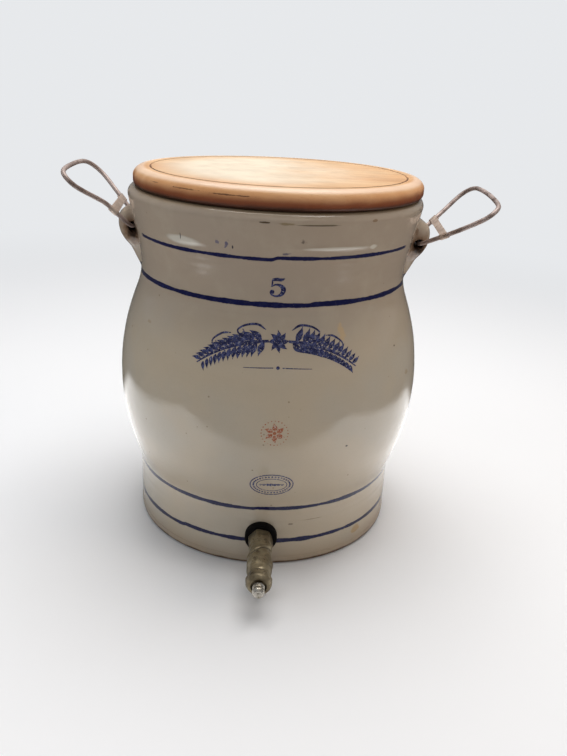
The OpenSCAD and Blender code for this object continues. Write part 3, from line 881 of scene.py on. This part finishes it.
def wood():
    """Pine-coloured wood, its grain along X, darker at the side with dark scars and painted shade at its
    lowest edge, a painted highlight round the top's edge, painted shade in its groove and a painted sheen on
    top.
    """
    kit = Kit("lid_wood")
    x, y, z = kit.split(kit.place)
    x = kit.minus(x, LID_X)
    long_grain = kit.scaled(kit.place, (0.09, 1, 1))
    bend = kit.noise(kit.scaled(kit.place, (0.35, 1, 1)), 9, 3)
    across = kit.plus(y, kit.times(bend, 0.09))
    rings = kit.math("SINE", kit.times(across, 330))
    rings = kit.plus(rings, kit.times(kit.noise(long_grain, 130, 3), 1.6))
    rings = kit.step(rings, -0.6, 2.2)
    fibres = kit.noise(long_grain, 900, 4, 0.6)
    broad = kit.noise(kit.scaled(kit.place, (0.4, 1, 1)), 16, 3)
    colour = kit.mix(kit.step(broad, 0.35, 0.68), rgb(232, 190, 142), rgb(218, 166, 114))
    colour = kit.layer(rings, 0.24, colour, rgb(198, 136, 84))
    colour = kit.layer(kit.step(fibres, 0.5, 0.75), 0.35, colour, rgb(186, 126, 76))
    pores = kit.step(kit.noise(kit.scaled(kit.place, (0.05, 1, 1)), 2200, 2), 0.66, 0.72)
    colour = kit.layer(pores, 0.35, colour, rgb(120, 72, 40))

    away = kit.length(x, y)
    smear = kit.times(kit.noise(kit.place, 45, 4, 0.6), 3 * MM)
    side_height = kit.plus(z, smear)
    outer = kit.step(away, LID_R - 9 * MM, LID_R - 2 * MM)
    shoulder = kit.step(away, LID_R - 4 * MM, LID_R - 0.3 * MM, 0.0, 0.45)
    colour = kit.mix(shoulder, colour, rgb(206, 136, 84))
    # pale: a painted highlight on the rounding round the top's edge.
    pale = kit.step(away, LID_R - 13 * MM, LID_R - 9 * MM)
    pale = kit.times(pale, kit.step(away, LID_R - 4.5 * MM, LID_R - 1.5 * MM, 0.6, 0.0))
    colour = kit.mix(pale, colour, rgb(240, 212, 190))
    # The side darkens towards its bottom, and its lowest band, where the lid sits on the rim, is painted
    # near-black shade.
    low_side = kit.step(side_height, LID_SEAT + 7 * MM, LID_SEAT + 14.5 * MM, 0.92, 0.0)
    colour = kit.layer(low_side, outer, colour, rgb(124, 56, 23))
    darkening = kit.step(side_height, LID_SEAT + 3.0 * MM, LID_SEAT + 7.5 * MM, 0.92, 0.0)
    colour = kit.layer(darkening, outer, colour, rgb(52, 26, 14))
    # Painted shade in the groove on the top, drawn wider at the front and back where its shaded wall shows.
    off = kit.absolute(kit.minus(away, GROOVE_R))
    broader = kit.math("MULTIPLY_ADD", kit.absolute(y), 1.3 / GROOVE_R, 0.6)
    groove = kit.step(kit.math("DIVIDE", off, broader), 0.7 * MM, 1.3 * MM, 0.8, 0.0)
    level = kit.plus(z, kit.math("MULTIPLY_ADD", y, LID_SLOPE / LID_R, LID_SLOPE))
    on_top = kit.step(level, LID_TOP - 3.2 * MM, LID_TOP - 1.6 * MM)
    colour = kit.layer(groove, on_top, colour, rgb(100, 62, 40))
    # A painted sheen, near white, left of the top's middle.
    left_of_middle = kit.plus(x, kit.math("MULTIPLY_ADD", kit.noise(kit.place, 12, 3), 0.12, -0.01))
    painted_sheen = kit.step(kit.absolute(left_of_middle), 0.02, 0.13, 0.8, 0.15)
    painted_sheen = kit.times(painted_sheen, kit.step(away, 0.085, 0.138, 1.0, 0.1))
    painted_sheen = kit.times(painted_sheen, kit.minus(1.0, groove))
    colour = kit.layer(painted_sheen, on_top, colour, rgb(246, 236, 216))

    azimuth = kit.math("ARCTAN2", x, kit.times(y, -1.0))
    for at, height, wide, tall, strength in LID_SCARS:
        mask = kit.times(spot(kit, azimuth, z, at, height, wide, tall, 0.5, 300), outer)
        colour = kit.layer(mask, strength, colour, rgb(58, 32, 24))
    rough = kit.step(kit.noise(kit.place, 50, 3), 0.3, 0.7, 0.33, 0.50)
    normal = kit.bump(fibres, 0.25, 0.25 * MM)
    normal = kit.bump(rings, 0.15, 0.2 * MM, normal)
    return kit.finish(colour, rough, 0.0, normal, Specular_IOR_Level=0.4)


def build_lid(material):
    """The turned lid, its middle at LID_X."""
    lid = lathe("lid_top", lid_outline(), 288, material, warp_lid, lambda p: p + (LID_X, 0, 0))
    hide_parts("wooden_lid")
    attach(lid, "lid")


# ---------------------------------------------------------------- metals and rubber

def aged_metal(name, bright, dull, dark, rust, metal, rough, scale, rusty=0.3, pitted=0.4, grain=4,
               hollows=None):
    """Metal with a worn bright face, dull and dark patches, and rust in its hollows.

    hollows makes a mask of the places painted dark, as painted shade with the dirt that gathers there.
    """
    kit = Kit(name)
    patches = kit.noise(kit.place, scale, grain, 0.62)
    colour = kit.mix(kit.step(patches, 0.36, 0.62), bright, dull)
    darkening = kit.noise(kit.place, scale * 2.7, grain, 0.7)
    colour = kit.mix(kit.step(darkening, 0.52, 0.70), colour, dark)
    stain = kit.noise(kit.place, scale * 1.4, 3, 0.6, 0.4)
    colour = kit.mix(kit.step(stain, 0.66 - rusty * 0.3, 0.80 - rusty * 0.3), colour, rust)
    if hollows:
        # Painted shade and dirt in the hollows.
        colour = kit.mix(hollows(kit), colour, rgb(34, 28, 22))
    shine = kit.step(kit.noise(kit.place, scale * 3, 3), 0.3, 0.7, rough - 0.09, rough + 0.16)
    normal = kit.bump(kit.noise(kit.place, scale * 6, grain, 0.6), pitted, 0.15 * MM)
    normal = kit.bump(kit.noise(kit.place, scale * 0.8, 2), 0.4, 0.4 * MM, normal)
    return kit.finish(colour, shine, metal, normal)


def rubber():
    """Dull black rubber with dust on it."""
    kit = Kit("black_rubber")
    dust = kit.noise(kit.place, 120, 4, 0.6)
    colour = kit.mix(kit.step(dust, 0.45, 0.75), rgb(10, 9, 8), rgb(22, 19, 17))
    normal = kit.bump(kit.noise(kit.place, 700, 3), 0.4, 0.1 * MM)
    return kit.finish(colour, kit.step(dust, 0.3, 0.7, 0.6, 0.85), 0.0, normal, Specular_IOR_Level=0.12)


def dress_cad_nodes():
    """Materials for the small parts inside the tap and the pot, whose CAD shape is the final one."""
    brass = aged_metal("old_brass", rgb(188, 154, 92), rgb(150, 118, 66), rgb(92, 70, 40),
                       rgb(96, 104, 70), metal=0.85, rough=0.36, scale=110)
    spring = aged_metal("spring_wire", rgb(150, 146, 140), rgb(120, 112, 104), rgb(80, 70, 60),
                        rgb(120, 80, 52), metal=0.85, rough=0.36, scale=200)
    black = rubber()
    dressed = {
        "outer_rubber_washer": black, "inner_rubber_washer": black, "bonnet_gasket": black,
        "stem_packing": black, "valve_washer": black,
        "inner_brass_washer": brass, "lock_nut": brass, "valve_stem": brass,
        "valve_retainer_nut": brass, "spring_collar": brass,
    }
    for name, material in dressed.items():
        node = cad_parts[name]
        node.data.materials.clear()
        node.data.materials.append(material)
    wind_spring(spring)


def wind_spring(material):
    """The spring between the tap's seat and the stem's collar. The real one shortens as the button goes in;
    this copy of the CAD node's mesh keeps its length and rides on the pot.
    """
    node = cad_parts["return_spring"]
    mesh = node.data.copy()
    mesh.materials.clear()
    mesh.materials.append(material)
    spring = bpy.data.objects.new("spring_wound", mesh)
    bpy.context.scene.collection.objects.link(spring)
    spring.matrix_world = node.matrix_world.copy()
    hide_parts("return_spring")
    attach(spring, "pot")
    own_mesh(spring)


# ---------------------------------------------------------------- handles

# Each handle in its own plane, in millimetres: outwards from the hinge, and along it from back to front
RIGHT_WIRE = [(0, 4), (0, 11), (1.2, 18.6), (5.5, 22.4), (14, 25.6), (28, 34.0), (44, 44.5), (58, 54.8),
              (66, 59.4), (73, 60.8), (79.5, 57.2), (83.2, 48), (84.4, 32), (84.5, 12), (83.7, -10),
              (82.0, -34), (79.8, -52), (76.4, -61.2), (70, -66.2), (62, -66.6), (54, -62.6), (44, -56),
              (33, -47.4), (24, -39.5), (13, -29.6), (5.2, -22.2), (1.0, -16.4), (0, -10), (0, -4)]
LEFT_WIRE = [(0, 4), (0, 12), (1.2, 20), (6, 23.3), (15, 25.9), (28, 33.6), (42, 42.6), (52, 49.4),
             (60, 52.8), (68.5, 52.6), (76, 47.2), (80.6, 36), (82.6, 16), (82.8, -6), (82.3, -28),
             (80.8, -44), (77.4, -53.4), (70.6, -57.4), (62.4, -55.6), (54, -47.6), (46, -38),
             (37.5, -28.2), (32, -24.6), (24, -23.4), (13, -23.3), (5.5, -22.4), (1.2, -18.0),
             (0, -11.5), (0, -4)]
WIRE_R = 2.25
# A wire is worn to WORN of its thickness in its lug, up to so many steps from its end
WORN, WORN_STEPS = 0.86, (15, 24)
# A strap's front end on its leg and that leg's direction, then the same at the back
STRAP = {"right": ((24, -39.5), 42.0, (28, 34.0), 32.7), "left": ((24, -23.4), 6.6, (28, 33.6), 31.9)}
STRAP_HALF, STRAP_THICK, STRAP_ROLL = 4.5, 0.9, 250


def handle_place(side, hinge, tilt):
    """Puts (outwards, along, above) millimetres of a handle's plane into the scene."""
    sign = 1 if side == "right" else -1
    c, t = math.cos(math.radians(tilt)), math.sin(math.radians(tilt))

    def place(points):
        out, along, above = np.array(points, float).T * MM
        x = sign * (abs(hinge[0]) + out * c - above * t)
        return np.stack([x, along, hinge[1] + out * t + above * c], -1)
    return place


def bent_wire(path, radius):
    """Points and faces of a wire of slightly uneven thickness bent in its plane, with rounded ends."""
    line = np.array(smooth_path(path, 1.3))
    along = np.gradient(line, axis=0)
    along /= np.hypot(*along.T)[:, None]
    side = np.stack([-along[:, 1], along[:, 0]], -1)
    run = np.arange(len(line))
    last = run[-1]
    lift = 0.35 * np.sin(run * 0.045 + 0.7) * np.sin(np.pi * run / last) ** 2
    sides = 20
    turns = ring_of(sides)
    points = []
    stations = [(0, 0.35, -0.55), (0, 0.8, -0.3)] + [(i, 1, 0) for i in run]
    stations += [(-1, 0.8, 0.3), (-1, 0.35, 0.55)]
    for i, full, ahead in stations:
        from_start = i % len(line)
        worn = np.interp(min(from_start, last - from_start), WORN_STEPS, (WORN, 1))
        r = radius * full * worn * (1 + 0.012 * math.sin(i * 0.9) + 0.01 * math.sin(i * 0.31 + 2))
        for a in turns:
            x, y = line[i] + along[i] * ahead + side[i] * r * math.cos(a)
            points.append((x, y, lift[i] + r * math.sin(a)))
    faces = grid_faces(len(stations), sides)
    faces.append(tuple(reversed(range(sides))))
    faces.append(tuple(range((len(stations) - 1) * sides, len(stations) * sides)))
    return points, faces


def rolled_strap(front, front_way, back, back_way):
    """Points and faces of a flat strap over two legs, each end rolled round its wire.

    front and back are places on the legs. The two ways are the legs' directions off the outward line.
    """
    ends = []
    for centre, way, outward in ((front, -front_way, -1), (back, back_way, 1)):
        leg = np.array([math.cos(math.radians(way)), math.sin(math.radians(way))])
        ends.append((np.array(centre, float), leg, outward * np.array([-leg[1], leg[0]])))
    rolls = np.radians(np.linspace(STRAP_ROLL, 0, 16))
    stations = [(0, a) for a in rolls] + [(f, 0) for f in np.linspace(0, 1, 9)[1:-1]]
    stations += [(1, a) for a in rolls[::-1]]
    widths = np.linspace(-STRAP_HALF, STRAP_HALF, 7)
    points = []
    for thick in (0.15, 0.15 + STRAP_THICK):
        for f, a in stations:
            for w in widths:
                bow = 0.12 * (w / STRAP_HALF) ** 2
                reach = WIRE_R + thick - bow
                places = [c + leg * w for c, leg, _ in ends]
                flat = places[0] * (1 - f) + places[1] * f
                if f in (0, 1):
                    flat = flat + ends[f][2] * reach * math.sin(a)
                sag = 0.25 * math.sin(math.pi * f)
                points.append((flat[0], flat[1], reach * math.cos(a) - sag))
    rows, columns = len(stations), len(widths)
    shift = rows * columns
    under = [tuple(reversed(q)) for q in grid_faces(rows, columns, closed=False)]
    faces = under + grid_faces(rows, columns, closed=False, first=shift)
    rim = [i * columns for i in range(rows)] + [(rows - 1) * columns + j for j in range(1, columns)]
    rim += [i * columns + columns - 1 for i in range(rows - 2, -1, -1)] + list(range(columns - 2, 0, -1))
    for a, b in zip(rim, rim[1:] + rim[:1]):
        faces.append((a, a + shift, b + shift, b))
    return points, faces


def build_handle(side, path, hinge, tilt, wire, strap):
    """One bent wire and its strap, tilted up by `tilt` degrees from level."""
    place = handle_place(side, hinge, tilt)
    for points, faces, kind, material, slot in (
            (*bent_wire(path, WIRE_R), "wire", wire, "wire"),
            (*rolled_strap(*STRAP[side]), "strap", strap, "strap")):
        if side == "left":
            faces = [tuple(reversed(q)) for q in faces]
        piece = mesh_object(f"{side}_{kind}_bent", place(points), faces, material, 35)
        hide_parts(f"{side}_handle_{kind}")
        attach(piece, f"{side}_handle")


# ---------------------------------------------------------------- tap

FOOT_R = 139.8 * MM
HEX = math.radians(60)
SHOULDER_TURN = math.radians(-9)
CREASE_SLANT, CREASE_TURN = 6.5, 0.2


def on_tap(points):
    """Puts a thing turned about the tap's axis, outwards from the foot, into the scene. Turn 0 is down."""
    x, y, z = np.array(points, float).T
    return np.stack([x, -FOOT_R - z, TAP_Z + y], -1)


def hexagon(turns, flats, corner, first):
    """Radius of a hexagon with rounded corners, first being the direction of one flat."""
    off = (turns - first + HEX / 2) % HEX - HEX / 2
    return np.minimum(flats / np.cos(off), corner)


def near(values, at, width):
    """A smooth bump of height 1 about `at`."""
    return np.exp(-((values - at) / width) ** 2)


def cast_barrel(radii, heights, turns):
    """The tap's body: hexagonal shoulder, a crease round its neck, and a fillet over the spout."""
    z = heights / MM
    outside = (radii > 10.2 * MM) & (z > 6)
    shoulder = np.clip((16.4 - z) / 1.8, 0, 1) * outside
    hexed = hexagon(turns, 11.15 * MM, 12.6 * MM, SHOULDER_TURN)
    radii = radii * (1 - shoulder) + np.minimum(hexed, radii + 0.7 * MM) * shoulder
    slant = -CREASE_SLANT * np.sin(turns + CREASE_TURN)
    crease = near(z, 35 + slant, 1.4) - 0.6 * near(z, 31.5 + slant, 1.6)
    radii = radii - outside * 1.1 * MM * crease
    below = np.cos(turns).clip(0, 1) ** 3
    fillet = below * np.clip(1 - np.hypot(z - 48, 9 * np.sin(turns)) / 14, 0, 1) * outside
    radii = radii + 1.6 * MM * fillet
    lumps = 0.22 * np.sin(turns * 3 + z * 0.31) + 0.16 * np.sin(turns * 5 - z * 0.42 + 1)
    lumps = lumps + 0.12 * np.sin(z * 0.9)
    return radii + outside * 0.8 * MM * (lumps - 0.4), heights


def tap_shade_and_dirt(kit):
    """The groove behind the bonnet nut and the crease round the neck, painted dark as shade and gathered
    dirt.
    """
    x, y, z = kit.split(kit.place)
    up = kit.minus(z, TAP_Z)
    out = kit.minus(-FOOT_R, y)
    away = kit.length(x, up)
    groove = kit.step(out, 66.2 * MM, 67.0 * MM)
    groove = kit.times(groove, kit.step(out, 68.9 * MM, 69.7 * MM, 1.0, 0.0))
    slanted = kit.minus(kit.times(x, math.cos(CREASE_TURN)), kit.times(up, math.sin(CREASE_TURN)))
    lean = kit.math("DIVIDE", slanted, away)
    off = kit.plus(kit.minus(out, 35.3 * MM), kit.times(lean, CREASE_SLANT * MM))
    off = kit.absolute(off)
    crease = kit.step(off, 0.5 * MM, 2.0 * MM, 0.75, 0.0)
    return kit.times(kit.larger(groove, crease), 0.85)


def threads(radii, heights, turns):
    """A screw thread on the shank inside the pot, cut inwards."""
    z = heights / MM
    cut = (radii > 8.9 * MM) & (z < -17) & (z > -29)
    wave = 0.5 + 0.5 * np.cos(2 * math.pi * z / 1.8 + turns)
    return radii - cut * 0.55 * MM * wave, heights


def metres(rows, start=0):
    """An outline's millimetres in metres, moved along its axis by start, which is in metres."""
    return [(r * MM, start + z * MM) for r, z in rows]


def tap_outline():
    """Half section of the tap's body from the shank's bore to the thread for the bonnet nut."""
    rows = [(0, -6), (6.9, -6), (6.9, -30), (8.6, -30), (9.4, -29.2)]
    rows += [(9.45, z) for z in np.arange(-29, -16, 0.3)]
    rows += [(9.45, -12), (9.45, -2), (9.45, 6), (11.2, 6.02), (11.7, 6.5)]
    rows += [(11.95, z) for z in np.arange(7, 16, 0.75)]
    barrel = [(11.7, 16.5), (11.45, 20), (11.2, 25), (11.0, 30), (11.3, 35), (12.0, 40), (12.5, 45),
              (12.55, 50), (12.3, 55), (11.6, 60), (11.1, 63), (10.8, 65), (10.7, 66.8)]
    radii, heights = zip(*barrel)
    rows += [(np.interp(z, heights, radii), z) for z in np.arange(16.5, 64.8, 0.75)]
    rows += [(10.4, 66.9), (9.6, 67.2), (9.4, 67.6), (9.35, 69.5), (9.35, 72), (0, 72)]
    return metres(rows)


def spout_outline():
    """Half section of the spout about its own upright axis, its bore open at the bottom."""
    rows = [(0, -13), (4.2, -13), (5, -13.6), (5, -25.9), (5.3, -26), (7.1, -26), (7.6, -25.8),
            (8.3, -25), (8.4, -24), (8.3, -23.2), (7.5, -22.3), (7.4, -21.5), (7.7, -19), (8.3, -16),
            (9.0, -12.5), (9.4, -9), (9.2, -7.6), (8.2, -7.6), (8.0, -10.2), (0, -10.2)]
    return metres(rows)


def domed_nut(radii, heights, turns):
    """The bonnet nut: six soft flats round its back half, and shallow wrench marks."""
    z = heights / MM
    outside = radii > 9.6 * MM
    flat = hexagon(turns, 11.45 * MM, 12.35 * MM, 0)
    grip = outside * np.clip((75.6 - z) / 1.5, 0, 1)
    radii = np.where(grip > 0, np.minimum(radii, radii * (1 - grip) + flat * grip), radii)
    scars = 0.12 * np.sin(turns * 11 + 1) * np.sin(z * 1.7) + 0.1 * np.sin(turns * 4 + z)
    return radii + outside * MM * (scars - 0.2), heights


def nut_outline():
    """Half section of the bonnet nut, from its rim by the barrel over the dome into its bore."""
    rows = [(0, 68.9), (9.6, 68.9), (11.4, 69.0), (12.1, 69.5), (12.4, 70.4), (12.4, 71.6), (12.4, 72.8),
            (12.3, 73.9), (11.9, 74.4), (11.75, 74.9), (12.0, 75.5), (12.0, 76.2), (11.7, 77.2), (11.0, 78.5),
            (10.0, 79.6), (9.0, 80.3), (8.3, 80.5), (7.5, 80.45), (7.2, 80.1), (7.2, 77.5), (7.2, 75),
            (0, 75)]
    return metres(rows)


def button_outline():
    """Half section of the push button, with two grooves round it and a dimple in its end."""
    back = -FOOT_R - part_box("push_button")[1].y
    rows = [(0, 0), (5.0, 0), (5.4, 0.3), (5.6, 0.8), (5.6, 2.4), (5.25, 2.8), (5.25, 3.3), (5.6, 3.7),
            (5.6, 5.0), (5.3, 5.6), (5.3, 6.2), (5.65, 6.9), (5.8, 7.7), (5.75, 8.8), (5.4, 9.9), (4.8, 10.7),
            (3.9, 11.25), (3.0, 11.45), (2.5, 11.3), (2.0, 11.45), (1.0, 11.6), (0, 11.65)]
    return metres(rows, back)


def build_tap(plate, bright):
    """The barrel, its spout, the bonnet nut and the button, with the threads cut on the shank."""
    def shaped(radii, heights, turns):
        return threads(*cast_barrel(radii, heights, turns), turns)
    spout_place = (0, -FOOT_R - 48 * MM, TAP_Z)
    barrel = lathe("tap_barrel", tap_outline(), 144, plate, shaped, on_tap)
    spout = lathe("tap_spout", spout_outline(), 72, plate, None, lambda p: p + spout_place)
    nut = lathe("bonnet_nut_domed", nut_outline(), 144, plate, domed_nut, on_tap)
    button = lathe("button_plated", button_outline(), 96, bright, None, on_tap)
    pieces = [
        (barrel, "tap_body", "pot", "tap_metal"), (spout, "tap_body", "pot", "tap_metal"),
        (nut, "bonnet_nut", "pot", "tap_metal"), (button, "push_button", "button", "button_metal"),
    ]
    for piece, node, body, slot in pieces:
        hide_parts(node)
        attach(piece, body)


# ---------------------------------------------------------------- the scene

def build_floor():
    """A plain pale floor that fades into the backdrop far from the pot, for the camera only.

    In reflections it glows as a painted reflection of a bright cloth round the pot, with a painted shadow
    along its middle, and is painted dark beyond its edges.
    """
    kit = Kit("floor")
    tone = kit.noise(kit.place, 1.3, 2)
    colour = kit.mix(tone, rgb(239, 240, 243), rgb(244, 244, 246))
    kit.finish(colour, 0.9)
    x, y, _ = kit.split(kit.place)
    away = kit.length(x, y)
    path = kit.node("LightPath")
    far = kit.times(kit.step(away, 0.45, 1.6), path.outputs["Is Camera Ray"])
    # The floor as reflections see it: a painted lit cloth, dimmed along its middle by a painted shadow,
    # painted dark beyond its edges.
    deep = kit.times(kit.step(y, -0.37, -0.31), kit.step(y, 0.20, 0.30, 1.0, 0.0))
    aside = kit.absolute(x)
    cloth = kit.times(deep, kit.step(aside, 0.42, 0.55, 1.0, 0.0))
    cloth = kit.times(cloth, kit.step(aside, 0.05, 0.24, 0.4, 1.0))
    mirrored = path.outputs["Is Glossy Ray"]
    dark_in_reflections = kit.times(mirrored, kit.minus(1.0, cloth))
    put(kit.tree, kit.shader.inputs["Base Color"], kit.mix(dark_in_reflections, colour, rgb(70, 68, 66)))
    # The floor glows only for reflections, a painted reflection.
    reflection_glow = kit.times(mirrored, kit.times(cloth, kit.step(away, 0.15, 0.24, 0.0, 0.9)))
    put(kit.tree, kit.shader.inputs["Emission Color"], (1, 1, 1))
    put(kit.tree, kit.shader.inputs["Emission Strength"], reflection_glow)
    glow = kit.node("Emission", Color=BACKDROP)
    pick = kit.node("MixShader", far, kit.shader.outputs[0], glow.outputs[0])
    put(kit.tree, kit.tree.nodes["Material Output"].inputs["Surface"], pick.outputs[0])
    size = 30
    floor = mesh_object("floor", [(-size, -size, 0), (size, -size, 0), (size, size, 0), (-size, size, 0)],
                        [(0, 1, 2, 3)], kit.material)


place_camera()
light_scene()
build_floor()
build_pot(glaze())
GROUND = rgb(200, 192, 178)
blue = ink("cobalt_ink", COBALT, rgb(74, 80, 124), GROUND, 0.02)
faint_blue = ink("faint_cobalt_ink", rgb(44, 48, 92), rgb(84, 88, 122), GROUND, 0.06)
red = ink("rust_red_ink", rgb(158, 86, 58), rgb(178, 118, 90), GROUND, 0.08)
paint_numeral(blue)
paint_sprays(blue)
paint_rosette(red)
paint_oval(faint_blue)
build_lid(wood())
steel = aged_metal("handle_steel", rgb(182, 164, 157), rgb(158, 140, 133), rgb(122, 104, 96),
                   rgb(140, 100, 76), metal=0.25, rough=0.5, scale=22, rusty=0.1, pitted=0.12, grain=1)
tin = aged_metal("strap_tin", rgb(206, 188, 174), rgb(184, 164, 150), rgb(128, 108, 94), rgb(136, 96, 70),
                 metal=0.4, rough=0.46, scale=90, rusty=0.1)
build_handle("right", RIGHT_WIRE, RIGHT_HINGE, 37, steel, tin)
build_handle("left", LEFT_WIRE, LEFT_HINGE, 43, steel, tin)
plate = aged_metal("tarnished_plate", rgb(150, 138, 112), rgb(118, 106, 84), rgb(72, 62, 48),
                   rgb(104, 84, 50), metal=0.65, rough=0.36, scale=62, pitted=0.2, hollows=tap_shade_and_dirt)
bright = aged_metal("bright_plate", rgb(202, 197, 188), rgb(176, 168, 154), rgb(112, 102, 84),
                    rgb(142, 122, 84), metal=0.85, rough=0.27, scale=140, rusty=0.05)
build_tap(plate, bright)
dress_cad_nodes()
